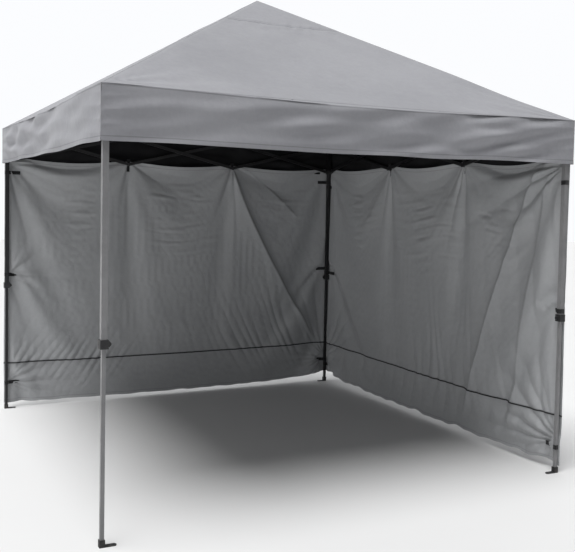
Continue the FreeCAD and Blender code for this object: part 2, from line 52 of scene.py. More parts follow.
LOOP_WIDTH, STRAP_WIDTH, WEBBING = 0.025, 0.028, 0.0014
SIM_FRAMES = 45
CLOTH_BEND = 0.6
BILLOW_IN, BILLOW_OUT = 0.055, 0.026
END_CALM = 0.16  # a wall's billow fades out over this length at its ends
AMBIENT, BACKDROP = 0.20, 1.0  # the studio's brightness before the object and behind it
BRIGHT_SIDE = (0.435, 0.90, 0.0)
KEY = 3.9
KEY_WAY = (0.27, 0.16, -0.93)
RAKE = 50.0
RAKE_AT = (-5.6, -0.6, 1.5)
CORNERS = {"front_left": (-1, -1), "front_right": (1, -1), "back_left": (-1, 1), "back_right": (1, 1)}


def camera():
    """The camera at the photograph's place, with a small roll."""
    yaw, pitch, roll = (math.radians(v) for v in (CAMERA_YAW, CAMERA_PITCH, CAMERA_ROLL))
    forward = Vector((math.cos(pitch) * math.sin(yaw), math.cos(pitch) * math.cos(yaw), math.sin(pitch)))
    right = Vector((math.cos(yaw), -math.sin(yaw), 0))
    up = right.cross(forward)
    x = math.cos(roll) * right + math.sin(roll) * up
    y = -math.sin(roll) * right + math.cos(roll) * up
    rows = [(x[i], y[i], -forward[i], CAMERA_AT[i]) for i in range(3)] + [(0, 0, 0, 1)]
    data = bpy.data.cameras.new("camera")
    data.lens, data.sensor_width, data.sensor_fit = CAMERA_LENS, 36, "HORIZONTAL"
    data.shift_x, data.shift_y = CAMERA_SHIFT
    data.clip_end = 60
    found = bpy.data.objects.new("camera", data)
    bpy.context.scene.collection.objects.link(found)
    found.matrix_world = Matrix(rows)
    bpy.context.scene.camera = found


camera()
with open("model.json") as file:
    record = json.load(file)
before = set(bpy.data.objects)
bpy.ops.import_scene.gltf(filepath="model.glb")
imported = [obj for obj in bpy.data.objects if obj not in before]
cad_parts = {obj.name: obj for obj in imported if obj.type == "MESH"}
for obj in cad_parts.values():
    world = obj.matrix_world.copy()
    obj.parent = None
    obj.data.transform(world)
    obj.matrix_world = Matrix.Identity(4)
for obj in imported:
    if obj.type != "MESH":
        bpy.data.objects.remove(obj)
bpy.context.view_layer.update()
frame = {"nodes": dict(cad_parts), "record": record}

canopy_low, canopy_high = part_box("roof_canopy")
HALF = canopy_high.x
PEAK = canopy_high.z
HEM = canopy_low.z
leg_low, leg_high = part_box("outer_leg_front_left")
LEG = -(leg_low.x + leg_high.x) / 2
TUBE = (leg_high.x - leg_low.x) / 2
inner_low, inner_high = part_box("inner_leg_front_left")
INNER = (inner_high.x - inner_low.x) / 2
SPLIT = leg_low.z
EAVE = leg_high.z + 0.009
RISE = PEAK - EAVE
wall_low, wall_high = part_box("back_wall")
WALL_FACE = wall_high.y
WALL_END = LEG + TUBE
WALL_BOTTOM = wall_low.z
WALL_TOP = HEM + 0.050
BAY = 2 * (LEG - 0.038) / 3
STRAPS = (HEM - 0.074, SPLIT + 0.1, 0.205)
RIGHT_STRAP_DROP = 0.042


# Materials
class Shader:
    """A principled material whose nodes are added one by one."""

    def __init__(self, name, roughness, metallic=0.0, sheen=0.0, specular=0.5):
        self.material = bpy.data.materials.new(name)
        self.material.use_nodes = True
        self.tree = self.material.node_tree
        self.base = self.tree.nodes["Principled BSDF"]
        self.base.inputs["Roughness"].default_value = roughness
        self.base.inputs["Metallic"].default_value = metallic
        self.base.inputs["Sheen Weight"].default_value = sheen
        self.base.inputs["Specular IOR Level"].default_value = specular

    def add(self, kind, inputs=None, **settings):
        node = self.tree.nodes.new(kind)
        for key, value in settings.items():
            setattr(node, key, value)
        for key, value in (inputs or {}).items():
            if isinstance(value, bpy.types.NodeSocket):
                self.tree.links.new(value, node.inputs[key])
            else:
                node.inputs[key].default_value = value
        return node

    def maths(self, operation, a, b=0.0, clamp=False):
        node = self.add("ShaderNodeMath", {0: a, 1: b}, operation=operation)
        node.use_clamp = clamp
        return node.outputs[0]

    def rest(self):
        """Where a point was before any fold, kept on the mesh."""
        return self.add("ShaderNodeAttribute", attribute_name="rest").outputs["Vector"]

    def stretch(self, vector, factors):
        """vector times a factor for each axis."""
        return self.add("ShaderNodeVectorMath", {0: vector, 1: factors}, operation="MULTIPLY").outputs[0]

    def noise(self, vector, scale, detail=3.0, rough=0.5, distort=0.0):
        settings = {"Vector": vector, "Scale": scale, "Detail": detail}
        settings |= {"Roughness": rough, "Distortion": distort}
        return self.add("ShaderNodeTexNoise", settings).outputs["Fac"]

    def mix(self, share, a, b):
        node = self.add("ShaderNodeMix", data_type="RGBA")
        for key, value in ((0, share), (6, a), (7, b)):
            if isinstance(value, bpy.types.NodeSocket):
                self.tree.links.new(value, node.inputs[key])
            else:
                node.inputs[key].default_value = value if key == 0 else (*value, 1)
        return node.outputs[2]

    def ramp(self, value, low, high, to_low=0.0, to_high=1.0):
        settings = {"Value": value, "From Min": low, "From Max": high, "To Min": to_low, "To Max": to_high}
        return self.add("ShaderNodeMapRange", settings, interpolation_type="SMOOTHSTEP").outputs[0]

    def line(self, value, centre, half):
        """1 on a line where value is centre, and 0 further than half away."""
        away = self.maths("ABSOLUTE", self.maths("SUBTRACT", value, centre))
        return self.ramp(away, half * 0.6, half, 1.0, 0.0)

    def finish(self, colour, roughness=None, bumps=()):
        self.tree.links.new(colour, self.base.inputs["Base Color"])
        if roughness is not None:
            self.tree.links.new(roughness, self.base.inputs["Roughness"])
        normal = None
        for height, strength, distance in bumps:
            settings = {"Height": height, "Strength": strength, "Distance": distance}
            node = self.add("ShaderNodeBump", settings)
            if normal is not None:
                self.tree.links.new(normal, node.inputs["Normal"])
            normal = node.outputs[0]
        if normal is not None:
            self.tree.links.new(normal, self.base.inputs["Normal"])
        return self.material


def weave(shader, vector, threads):
    """Plain weave: two sets of threads, in every plane that the cloth may lie in."""
    waves = [
        shader.add(
            "ShaderNodeTexWave",
            {"Vector": vector, "Scale": threads, "Distortion": 0.4, "Detail": 1.0, "Detail Scale": 3.0},
            bands_direction=direction,
        ).outputs["Fac"]
        for direction in ("X", "Y", "Z")
    ]
    return shader.maths("ADD", shader.maths("ADD", waves[0], waves[1]), waves[2])


def fabric(name, light, dark, seams, roughness=0.62, sheen=0.08, crease=0.5):
    """Coated polyester. seams gives a shader's mask of sewn lines from the rest coordinates."""
    shader = Shader(name, roughness, sheen=sheen, specular=0.35)
    at = shader.rest()
    cloud = shader.noise(at, 1.3, 4.0, 0.55)
    fine = shader.noise(at, 38.0, 4.0, 0.6)
    tone = shader.maths("ADD", shader.maths("MULTIPLY", cloud, 0.7), shader.maths("MULTIPLY", fine, 0.3))
    colour = shader.mix(shader.ramp(tone, 0.3, 0.7), dark, light)
    mask = seams(shader, at)
    colour = shader.mix(shader.maths("MULTIPLY", mask, 0.45), colour, tuple(c * 0.45 for c in dark))
    rough = shader.ramp(shader.noise(at, 6.0, 3.0), 0.25, 0.75, roughness - 0.08, roughness + 0.1)
    soft = shader.noise(at, 5.5, 5.0, 0.5, 0.6)
    sharp = shader.add(
        "ShaderNodeTexVoronoi",
        {"Vector": shader.stretch(at, (1.0, 1.0, 0.55)), "Scale": 7.0, "Randomness": 1.0},
        feature="DISTANCE_TO_EDGE",
    ).outputs["Distance"]
    bumps = [(soft, crease, 0.012), (shader.ramp(sharp, 0.0, 0.08), 0.10 * crease, 0.004)]
    bumps += [(mask, 0.5, 0.0015), (weave(shader, at, 300.0), 0.05, 0.0003)]
    return shader.finish(colour, rough, bumps)


def split_xyz(shader, at):
    node = shader.add("ShaderNodeSeparateXYZ", {0: at})
    return [node.outputs[k] for k in range(3)]


def roof_seams(shader, at):
    """Hip seams, the peak cap's edge, the eave seam and the valance's hem."""
    x, y, z = split_xyz(shader, at)
    x, y = shader.maths("ABSOLUTE", x), shader.maths("ABSOLUTE", y)
    most = shader.maths("MAXIMUM", x, y)
    hip = shader.line(shader.maths("SUBTRACT", x, y), 0.0, 0.006)
    cap = shader.line(most, CAP_REACH, 0.006)
    cap_stitch = shader.line(most, CAP_REACH - 0.018, 0.003)
    on_roof = shader.ramp(z, EAVE - 0.05, EAVE - 0.03)
    hem = shader.line(z, HEM + HEM_DEPTH, 0.003)
    edge = shader.line(z, EAVE - 0.006, 0.004)
    mask = shader.maths("MAXIMUM", cap, hip)
    mask = shader.maths("MAXIMUM", mask, shader.maths("MULTIPLY", cap_stitch, 0.7))
    mask = shader.maths("MULTIPLY", mask, on_roof)
    return shader.maths("MAXIMUM", mask, shader.maths("MAXIMUM", hem, edge))


def wall_seams(shader, at):
    """Hems along the wall's top and bottom and the seam under the piping."""
    _, _, z = split_xyz(shader, at)
    lines = [shader.line(z, WALL_TOP - 0.03, 0.003), shader.line(z, WALL_BOTTOM + 0.025, 0.003)]
    lines.append(shader.line(z, PIPING_HEIGHT, 0.007))
    mask = lines[0]
    for other in lines[1:]:
        mask = shader.maths("MAXIMUM", mask, other)
    return mask


def object_at(shader):
    return shader.add("ShaderNodeTexCoord").outputs["Object"]


def painted_steel(name, colour, dark):
    """Powder coat: fine orange peel, handling marks and dust."""
    shader = Shader(name, 0.4, metallic=0.0, specular=0.5)
    at = object_at(shader)
    marks = shader.noise(at, 9.0, 6.0, 0.7, 0.3)
    scratches = shader.noise(shader.stretch(at, (60.0, 60.0, 2.5)), 3.0, 4.0, 0.6)
    tone = shader.maths("MULTIPLY", shader.ramp(marks, 0.35, 0.7), 0.6)
    tone = shader.maths("ADD", tone, shader.maths("MULTIPLY", shader.ramp(scratches, 0.5, 0.75), 0.3))
    rough = shader.ramp(marks, 0.3, 0.7, 0.34, 0.5)
    peel = shader.noise(at, 900.0, 2.0)
    bumps = [(peel, 0.15, 0.0003), (scratches, 0.05, 0.0004)]
    return shader.finish(shader.mix(tone, colour, dark), rough, bumps)


def moulded(name, colour, dusty, roughness, grain):
    """Moulded plastic with a fine grain and patches of dust."""
    shader = Shader(name, roughness, specular=0.45)
    at = object_at(shader)
    dust = shader.ramp(shader.noise(at, 22.0, 5.0, 0.6), 0.45, 0.75)
    grainy = shader.noise(at, 1400.0, 2.0)
    rough = shader.ramp(shader.noise(at, 30.0, 3.0), 0.3, 0.7, roughness - 0.06, roughness + 0.12)
    colour = shader.mix(shader.maths("MULTIPLY", dust, 0.5), colour, dusty)
    return shader.finish(colour, rough, [(grainy, grain, 0.0004)])


def webbing(name):
    """Black woven webbing with ribs across it."""
    shader = Shader(name, 0.8, sheen=0.15, specular=0.3)
    at = object_at(shader)
    ribs = weave(shader, at, 260.0)
    dust = shader.ramp(shader.noise(at, 40.0, 4.0), 0.4, 0.8)
    colour = shader.mix(dust, (0.008, 0.008, 0.009), (0.03, 0.03, 0.032))
    return shader.finish(colour, None, [(ribs, 0.5, 0.0006)])


def floor_material():
    shader = Shader("studio_floor", 0.7, specular=0.2)
    at = object_at(shader)
    colour = shader.mix(shader.noise(at, 0.6, 4.0), (0.62, 0.62, 0.62), (0.66, 0.66, 0.66))
    return shader.finish(colour, None, [(shader.noise(at, 60.0, 4.0), 0.05, 0.001)])


canopy_outside = fabric("canopy_outside", (0.300, 0.302, 0.322), (0.255, 0.257, 0.276), roof_seams)
# The roof's and valances' inner side is near black: painted shade, standing in for the shade under the
# roof.
canopy_underside_painted_shade = fabric(
    "canopy_underside_painted_shade", (0.004, 0.004, 0.005), (0.003, 0.003, 0.004), roof_seams, 0.85, sheen=0.0
)
# The wall cloth is made lighter than the roof's same fabric: painted light, standing in for daylight
# shining through the walls.
wall_cloth_painted_light = fabric(
    "wall_cloth_painted_light", (0.385, 0.392, 0.402), (0.325, 0.333, 0.343), wall_seams, 0.42, crease=0.5
)
leg_paint = painted_steel("grey_powder_coat", (0.215, 0.215, 0.22), (0.155, 0.155, 0.16))
# Near-black coat for steel that is really grey like the front legs: painted shade under the roof and at the
# back.
painted_shade_steel = painted_steel("painted_shade_powder_coat", (0.006, 0.006, 0.007), (0.004, 0.004, 0.005))
matte_black = moulded("matte_black_plastic", (0.014, 0.014, 0.015), (0.05, 0.05, 0.05), 0.5, 0.3)
gloss_black = moulded("gloss_black_plastic", (0.010, 0.010, 0.012), (0.03, 0.03, 0.03), 0.25, 0.1)
foot_black = moulded("scuffed_black_plastic", (0.016, 0.016, 0.017), (0.11, 0.10, 0.09), 0.6, 0.5)
strap_black = webbing("black_webbing")

SLOT_LOOKS = {
    "grey_painted_steel": leg_paint,
    "black_plastic": matte_black,
    "black_gloss_plastic": gloss_black,
    "black_foot_plastic": foot_black,
    "canopy_fabric": canopy_outside,
    "wall_fabric": wall_cloth_painted_light,
}


def paint_frame():
    """Every CAD node gets its finish, and a small round on its edges."""
    slots = {part["node"]: part["material_slot"] for part in frame["record"]["subparts"]}
    for name, node in frame["nodes"].items():
        look = SLOT_LOOKS[slots[name]]
        # Roof poles, trusses and back legs take the near-black coat: painted shade.
        if "roof_pole" in name or name.startswith(("truss", "outer_leg_back", "inner_leg_back")):
            look = painted_shade_steel
        node.data.materials.clear()
        node.data.materials.append(look)
        bevel = node.modifiers.new("round", "BEVEL")
        bevel.width = 0.0006 if name.startswith(("truss", "slider", "roof_hub")) else 0.0012
        bevel.segments = 2
        bevel.limit_method = "ANGLE"
        bevel.angle_limit = math.radians(40)
        bevel.use_clamp_overlap = True


# Sheets
def sheet_object(name, points, normals, rest, faces, looks, free_edges=()):
    """A sheet with two sides. points, normals and rest are (n, 3), and looks are the two sides'."""
    points, normals, rest = (np.asarray(v, float).reshape(-1, 3) for v in (points, normals, rest))
    normals = normals / np.linalg.norm(normals, axis=1, keepdims=True)
    n = len(points)
    outer, inner = points, points - normals * THICK
    rims = [(a, b, b + n, a + n) for a, b in free_edges]
    mesh = bpy.data.meshes.new(name)
    mesh.from_pydata(
        np.vstack([outer, inner]).tolist(), [],
        [tuple(f) for f in faces] + [tuple(i + n for i in reversed(f)) for f in faces] + rims,
    )
    for look in looks:
        mesh.materials.append(look)
    sides = np.zeros(len(mesh.polygons), np.int32)
    sides[len(faces):2 * len(faces)] = 1
    mesh.polygons.foreach_set("material_index", sides)
    mesh.polygons.foreach_set("use_smooth", np.ones(len(mesh.polygons), bool))
    kept = mesh.attributes.new("rest", "FLOAT_VECTOR", "POINT")
    kept.data.foreach_set("vector", np.vstack([rest, rest]).astype(np.float32).ravel())
    mesh.normals_split_custom_set_from_vertices(np.vstack([normals, -normals]).tolist())
    made = bpy.data.objects.new(name, mesh)
    bpy.context.scene.collection.objects.link(made)
    return made


def grid_faces(rows, columns, flip=False):
    """Quads of a grid, row by row, and its outline's edges."""
    faces = []
    for i in range(rows - 1):
        for j in range(columns - 1):
            a = i * columns + j
            quad = (a, a + 1, a + columns + 1, a + columns)
            faces.append(quad[::-1] if flip else quad)
    top = [((rows - 1) * columns + j, (rows - 1) * columns + j + 1) for j in range(columns - 1)]
    low = [(j + 1, j) for j in range(columns - 1)]
    left = [(i * columns, (i + 1) * columns) for i in range(rows - 1)]
    right = [((i + 1) * columns + columns - 1, i * columns + columns - 1) for i in range(rows - 1)]
    edges = low + right + top + left
    return faces, [edge[::-1] for edge in edges] if flip else edges


def waves(x, y, seed, count, length, spread=0.35):
    """Smooth seeded ripples, about 1 at most."""
    source = np.random.default_rng(seed)
    total = np.zeros_like(np.asarray(x, float))
    for _ in range(count):
        angle = source.uniform(0, math.pi)
        size = length * source.uniform(1 - spread, 1 + spread)
        phase = source.uniform(0, 6.28)
        total += np.sin((x * math.cos(angle) + y * math.sin(angle)) * 2 * math.pi / size + phase)
    return total / count


def bump_at(value, centre, width):
    return np.exp(-(((value - centre) / width) ** 2))


def pinched(phase):
    """A wave with narrow crests and wide hollows, like folded cloth. Its crests are a little round."""
    return 1 - 2 * (np.sin(phase / 2) ** 2 + 0.02) ** 0.4


# Roof
def eave_height(share):
    """The eave's height at a share of the way from the middle of a side, 0, to a corner, 1."""
    return EAVE - EAVE_SAG * (1 - share**2) ** 2


def roof_height(x, y):
    """The roof fabric's height over a point in plan."""
    ax, ay = np.abs(x), np.abs(y)
    round_off = 0.004
    most = (ax + ay + np.sqrt((ax - ay) ** 2 + round_off**2)) / 2
    least = ax + ay - most
    out = np.clip(most / HALF, 0, 1)
    climb = 1 - out
    across = np.clip(least / np.maximum(most, 1e-6), 0, 1)
    hollow = (1 - across**2) * out
    sag = 0.050 * hollow * np.sin(np.pi * np.clip(climb, 0, 1) ** 0.8)
    sag += EAVE_SAG * (1 - across**2) ** 2 * (1 - climb) ** 6
    hips = bump_at(1 - across, 0.0, 0.16)
    sag += 0.010 * hips * bump_at(climb, 0.18, 0.12) * (x > 0)
    sag -= 0.007 * hips * bump_at(climb, 0.36, 0.05) * ((x < 0) & (y < 0))
    corner = np.hypot(ax - HALF, ay - HALF)
    turn = np.arctan2(HALF - ay, HALF - ax + 1e-9)
    fans = np.sin(turn * 26 + np.sign(x) * 1.3 + np.sign(y) * 0.7)
    fans = fans * np.exp(-corner / 0.38) * np.minimum(corner / 0.12, 1)
    near_cap = bump_at(most, CAP_REACH, 0.07)
    pucker = waves(x, y, 14, 6, 0.075) * 1.6 * near_cap * (1 - across**4)
    soft = waves(x, y, 11, 5, 0.55) * 0.5 + waves(x, y, 12, 7, 0.23) * 0.25
    free = np.minimum(1, (1 - across) / 0.10) * np.minimum(1, climb / 0.03)
    ripple = (0.0060 * fans + 0.0045 * pucker + 0.0085 * soft) * free
    step = CAP_STEP / (1 + np.exp((most - CAP_REACH) / 0.004))
    return EAVE + RISE * climb - np.maximum(sag - ripple, -0.008) + step


def roof_normals(x, y):
    d = 0.002
    away = 1 - 2e-3
    x, y = x * away, y * away
    nx = -(roof_height(x + d, y) - roof_height(x - d, y)) / (2 * d)
    ny = -(roof_height(x, y + d) - roof_height(x, y - d)) / (2 * d)
    found = np.stack([nx, ny, np.ones_like(nx)], -1)
    return found / np.linalg.norm(found, axis=-1, keepdims=True)


def triangle(first, second, third, steps):
    """Points of a triangle in plan as rows, with its faces and outline."""
    index, points = {}, []
    for i in range(steps + 1):
        for j in range(steps + 1 - i):
            index[i, j] = len(points)
            a, b = i / steps, j / steps
            points.append((1 - a - b) * first + a * second + b * third)
    faces = []
    for i in range(steps):
        for j in range(steps - i):
            faces.append((index[i, j], index[i + 1, j], index[i, j + 1]))
            if i + j < steps - 1:
                faces.append((index[i + 1, j], index[i + 1, j + 1], index[i, j + 1]))
    rim = [(index[i + 1, 0], index[i, 0]) for i in range(steps)]
    rim += [(index[0, j], index[0, j + 1]) for j in range(steps)]
    rim += [(index[i, steps - i], index[i + 1, steps - i - 1]) for i in range(steps)]
    return np.array(points), faces, rim


def roof_pieces():
    """Panels are cut from the hip's middle to the eave's middle, and each rides on its roof pole."""
    for corner, (sx, sy) in CORNERS.items():
        tip = np.array([sx * HALF, sy * HALF])
        middle, peak = tip / 2, np.zeros(2)
        for side, eave in (("across", np.array([0.0, sy * HALF])), ("along", np.array([sx * HALF, 0.0]))):
            for part, body, start in (("lower", "outer", tip), ("upper", "inner", peak)):
                plan, faces, rim = triangle(start, eave, middle, 44)
                x, y = plan.T
                z = roof_height(x, y)
                normals = roof_normals(x, y)
                a, b, c = (np.array([*plan[k], z[k]]) for k in faces[0])
                if np.cross(b - a, c - a)[2] < 0:
                    faces = [f[::-1] for f in faces]
                    rim = [e[::-1] for e in rim]
                points = np.column_stack([x, y, z])
                piece = sheet_object(
                    f"roof_{part}_{corner}_{side}", points, normals, points, faces,
                    (canopy_outside, canopy_underside_painted_shade), rim,
                )
                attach(piece, f"{body}_pole_{corner}")
                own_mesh(piece)
    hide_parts("roof_canopy")


# Valances
def valance_out(along, drop, seed):
    """How far a valance stands out of its plane at a place along it, and a share of the way down."""
    limp = np.minimum(1, (1 - (along / HALF) ** 8))
    level = waves(along * 0.30, drop * 0.27, seed, 7, 0.12) * (0.0075 + 0.004 * np.tanh(along * 2))
    drape = waves(along, drop * 0.05, seed + 1, 5, 0.42) * 0.0065
    level = level * 2.2 + waves(along * 0.18, drop * 0.27, seed + 5, 5, 0.13) * 0.012
    rounded_out = np.sin(np.minimum(drop / 0.35, 1) * math.pi / 2) - np.maximum(drop - 0.35, 0)
    flare = 0.012 * rounded_out * limp
    corner = np.clip((HALF - np.abs(along)) / 0.02, 0, 1) * np.exp(-(HALF - np.abs(along)) / 0.14)
    flare = flare + 0.0035 * corner * pinched(drop * 26 + along * 9 + seed) * np.sin(drop * math.pi)
    folds = 0.004 * np.sin(drop * 21 + 2.2 * np.sin(along * 3.1 + seed)) * bump_at(along, HALF, 0.8)
    return limp * (level + drape * drop + folds * np.sin(drop * math.pi)) + flare


def valance_pieces():
    """Two halves a side, each on its corner's leg."""
    rows, columns = 33, 150
    sides = {"front": (0, -1), "back": (0, 1), "left": (-1, 0), "right": (1, 0)}
    for number, (side, direction) in enumerate(sides.items()):
        out = np.array(direction, float)
        run = np.array([abs(out[1]), abs(out[0])])
        for sign in (-1, 1):
            corner = next(
                c for c, s in CORNERS.items()
                if np.dot(s, out) > 0 and np.dot(s, run) * sign > 0
            )
            along = np.linspace(0, sign * HALF, columns)
            drop = np.linspace(0, 1, rows)
            a, d = np.meshgrid(along, drop)

            def shape(a, d):
                top = eave_height(np.clip(np.abs(a) / HALF, 0, 1))
                hem = HEM + 0.006 * waves(a, 0 * a, 30 + number, 5, 0.7) - 0.25 * (EAVE - top)
                away = HALF + valance_out(a, d, 20 + number)
                x, y = (run[k] * a + out[k] * away for k in (0, 1))
                return np.stack([x, y, top + (hem - top) * d], -1)

            points = shape(a, d)
            step = 0.002
            level = shape(a + step, d) - shape(a - step, d)
            normals = np.cross(level, shape(a, d + step) - shape(a, d - step))
            normals[(normals @ np.append(out, 0)) < 0] *= -1
            hem_edge = points.copy()
            thicker = np.clip((d - 1 + HEM_DEPTH / (EAVE - HEM)) / 0.02, 0, 1)
            unit = normals / np.linalg.norm(normals, axis=-1, keepdims=True)
            hem_edge += unit * (HEM_STEP * thicker)[..., None]
            faces, edges = grid_faces(rows, columns)
            quad = [hem_edge.reshape(-1, 3)[k] for k in faces[0][:3]]
            flip = np.dot(np.cross(quad[1] - quad[0], quad[2] - quad[0])[:2], out) < 0
            faces, edges = grid_faces(rows, columns, flip)
            rest = np.stack([points[..., 0], points[..., 1], EAVE - d * (EAVE - HEM)], -1)
            piece = sheet_object(f"valance_{side}_{corner}", hem_edge, normals, rest, faces,
                                 (canopy_outside, canopy_underside_painted_shade), edges)
            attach(piece, f"leg_{corner}")
            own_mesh(piece)


# Side walls
def hanging_cloth(name, span, pins, seed, excess):
    """Points of a hung cloth after a cloth simulation. pins are (place, height, radius)."""
    columns, rows = 101, 65
    a, z = np.meshgrid(np.linspace(-span, span, columns), np.linspace(WALL_BOTTOM, WALL_TOP, rows))
    depth = 0.010 * waves(a, z * 0.3, seed, 6, 0.5) + 0.004 * waves(a, z, seed + 1, 6, 0.2)
    held = np.zeros_like(a)
    for place, level, radius in pins:
        held = np.maximum(held, np.hypot(a - place, (z - level)) <= radius)
    depth = depth * (1 - held)
    points = np.stack([a, depth, z], -1)
    faces, _ = grid_faces(rows, columns)
    mesh = bpy.data.meshes.new(name)
    mesh.from_pydata(points.reshape(-1, 3).tolist(), [], faces)
    cloth = bpy.data.objects.new(name, mesh)
    bpy.context.scene.collection.objects.link(cloth)
    group = cloth.vertex_groups.new(name="pinned")
    group.add([int(k) for k in np.flatnonzero(held.ravel() > 0)], 1.0, "REPLACE")
    modifier = cloth.modifiers.new("cloth", "CLOTH")
    settings = modifier.settings
    settings.quality = 7
    settings.mass = 0.1
    settings.tension_stiffness = settings.compression_stiffness = 25
    settings.shear_stiffness = 8
    settings.bending_stiffness = CLOTH_BEND
    settings.air_damping = 2.5
    settings.shrink_min = -excess
    settings.vertex_group_mass = "pinned"
    modifier.collision_settings.use_collision = False
    modifier.point_cache.frame_start = 1
    modifier.point_cache.frame_end = SIM_FRAMES
    scene = bpy.context.scene
    for number in range(1, SIM_FRAMES + 1):
        scene.frame_set(number)
    found = cloth.evaluated_get(bpy.context.evaluated_depsgraph_get()).to_mesh()
    settled = np.zeros(len(found.vertices) * 3)
    found.vertices.foreach_get("co", settled)
    bpy.data.objects.remove(cloth)
    scene.frame_set(1)
    return settled.reshape(rows, columns, 3)


def finer(grid, times):
    """A grid of points with Catmull-Rom points put between its own, both ways."""
    for axis in (0, 1):
        g = np.moveaxis(grid, axis, 0)
        padded = np.concatenate([2 * g[:1] - g[1:2], g, 2 * g[-1:] - g[-2:-1]])
        p0, p1, p2, p3 = padded[:-3], padded[1:-2], padded[2:-1], padded[3:]
        rows = []
        for k in range(times):
            t = k / times
            square, cube = 2 * p0 - 5 * p1 + 4 * p2 - p3, 3 * p1 - p0 - 3 * p2 + p3
            rows.append(0.5 * (2 * p1 + (p2 - p0) * t + square * t**2 + cube * t**3))
        mixed = np.stack(rows, 1).reshape(-1, *g.shape[1:])
        grid = np.moveaxis(np.concatenate([mixed, g[-1:]]), 0, axis)
    return grid


def grid_normals(grid):
    return np.cross(np.gradient(grid, axis=1), np.gradient(grid, axis=0))


def fan(a, z, centre, rays, reach, depth, seed):
    """Folds that spread from a point where the cloth is held."""
    away = np.hypot(a - centre[0], z - centre[1])
    turn = np.arctan2(z - centre[1], a - centre[0])
    strong = np.minimum(away / 0.08, 1) * np.exp(-((away / reach) ** 1.5))
    uneven = 0.6 + 0.4 * np.sin(turn * 3.1 + seed)
    phase = turn * rays + 1.3 * np.sin(turn * 5.0 + seed) + away * 0.8
    return 1.7 * depth * strong * uneven * pinched(phase)


def gathers(a, z, low, slant, tall, size, seed):
    """Folds that rise from the piping, and shorter ones below it. slant leans them sideways."""
    up = z - PIPING_HEIGHT
    lean = a - slant * up
    phase = 2 * math.pi * lean / size + 5.0 * waves(lean, 0.3 * up, int(seed * 10), 4, 0.45)
    low = low * (0.25 + 1.5 * np.abs(waves(lean, 0 * up, int(seed * 10) + 1, 4, 0.33)))
    fade = np.where(up > 0, np.exp(-np.maximum(up, 0) / tall), np.exp(np.minimum(up, 0) / 0.10))
    return 0.0095 * low * fade * pinched(phase)


def puckers(a, z, centre, spread, size, depth, seed):
    """Short level wrinkles in a patch."""
    patch = bump_at(a, centre[0], spread[0]) * bump_at(z, centre[1], spread[1])
    phase = 2 * math.pi * (z + 0.030 * np.sin(a * 7 + seed)) / size
    broken = np.clip(0.15 + 1.6 * waves(a * 0.6, z * 2.0, int(seed * 10) + 3, 5, 0.20), 0, 1)
    return 2.0 * depth * patch * broken * pinched(phase)


def long_fold(a, z, start, end, bend, depth):
    """One sharp fold from a high point to a low one, steep on its right and soft on its left."""
    share = np.clip((start[1] - z) / (start[1] - end[1]), 0, 1)
    off = a - (start[0] + (end[0] - start[0]) * share**bend)
    shape = np.where(off < 0, np.exp(np.minimum(off, 0) / 0.15), np.exp(-np.maximum(off, 0) / 0.022))
    return depth * shape * np.minimum(share / 0.08, 1) * np.clip((1 - share) / 0.12, 0, 1)


def back_folds(a, z):
    """Folds of the back wall. Its left end is at -WALL_END."""
    loop = BAY / 2
    depth = long_fold(a, z, (loop, WALL_TOP), (1.36, 0.40), 1.25, -0.036)
    depth += long_fold(a, z, (loop + 0.02, WALL_TOP), (1.15, 1.55), 0.7, -0.014)
    depth += fan(a, z, (loop, WALL_TOP), 13, 0.62, 0.0065, 1.0)
    depth += fan(a, z, (-loop, WALL_TOP), 11, 0.42, 0.0050, 2.2)
    depth += fan(a, z, (-LEG, WALL_TOP - 0.05), 15, 0.55, 0.0065, 0.4)
    depth += fan(a, z, (LEG, 0.22), 22, 0.55, 0.0055, 2.9) + fan(a, z, (-LEG, 0.22), 20, 0.45, 0.0060, 1.7)
    depth += fan(a, z, (-LEG, STRAPS[1]), 12, 0.40, 0.0055, 0.9)
    right, left = bump_at(a, 0.85, 0.55), bump_at(a, -1.05, 0.50)
    depth += gathers(a, z, right, -0.45, 0.30, 0.085, 0.6) + gathers(a, z, left, 0.75, 0.12, 0.075, 2.0)
    depth += puckers(a, z, (-0.02, 1.72), (0.28, 0.05), 0.075, 0.0055, 0.5)
    depth += puckers(a, z, (0.05, 1.40), (0.26, 0.13), 0.065, 0.0048, 1.9)
    depth += puckers(a, z, (-0.85, 1.55), (0.25, 0.16), 0.085, 0.0035, 2.6)
    return depth + puckers(a, z, (1.05, 1.70), (0.22, 0.10), 0.07, 0.0045, 0.1)


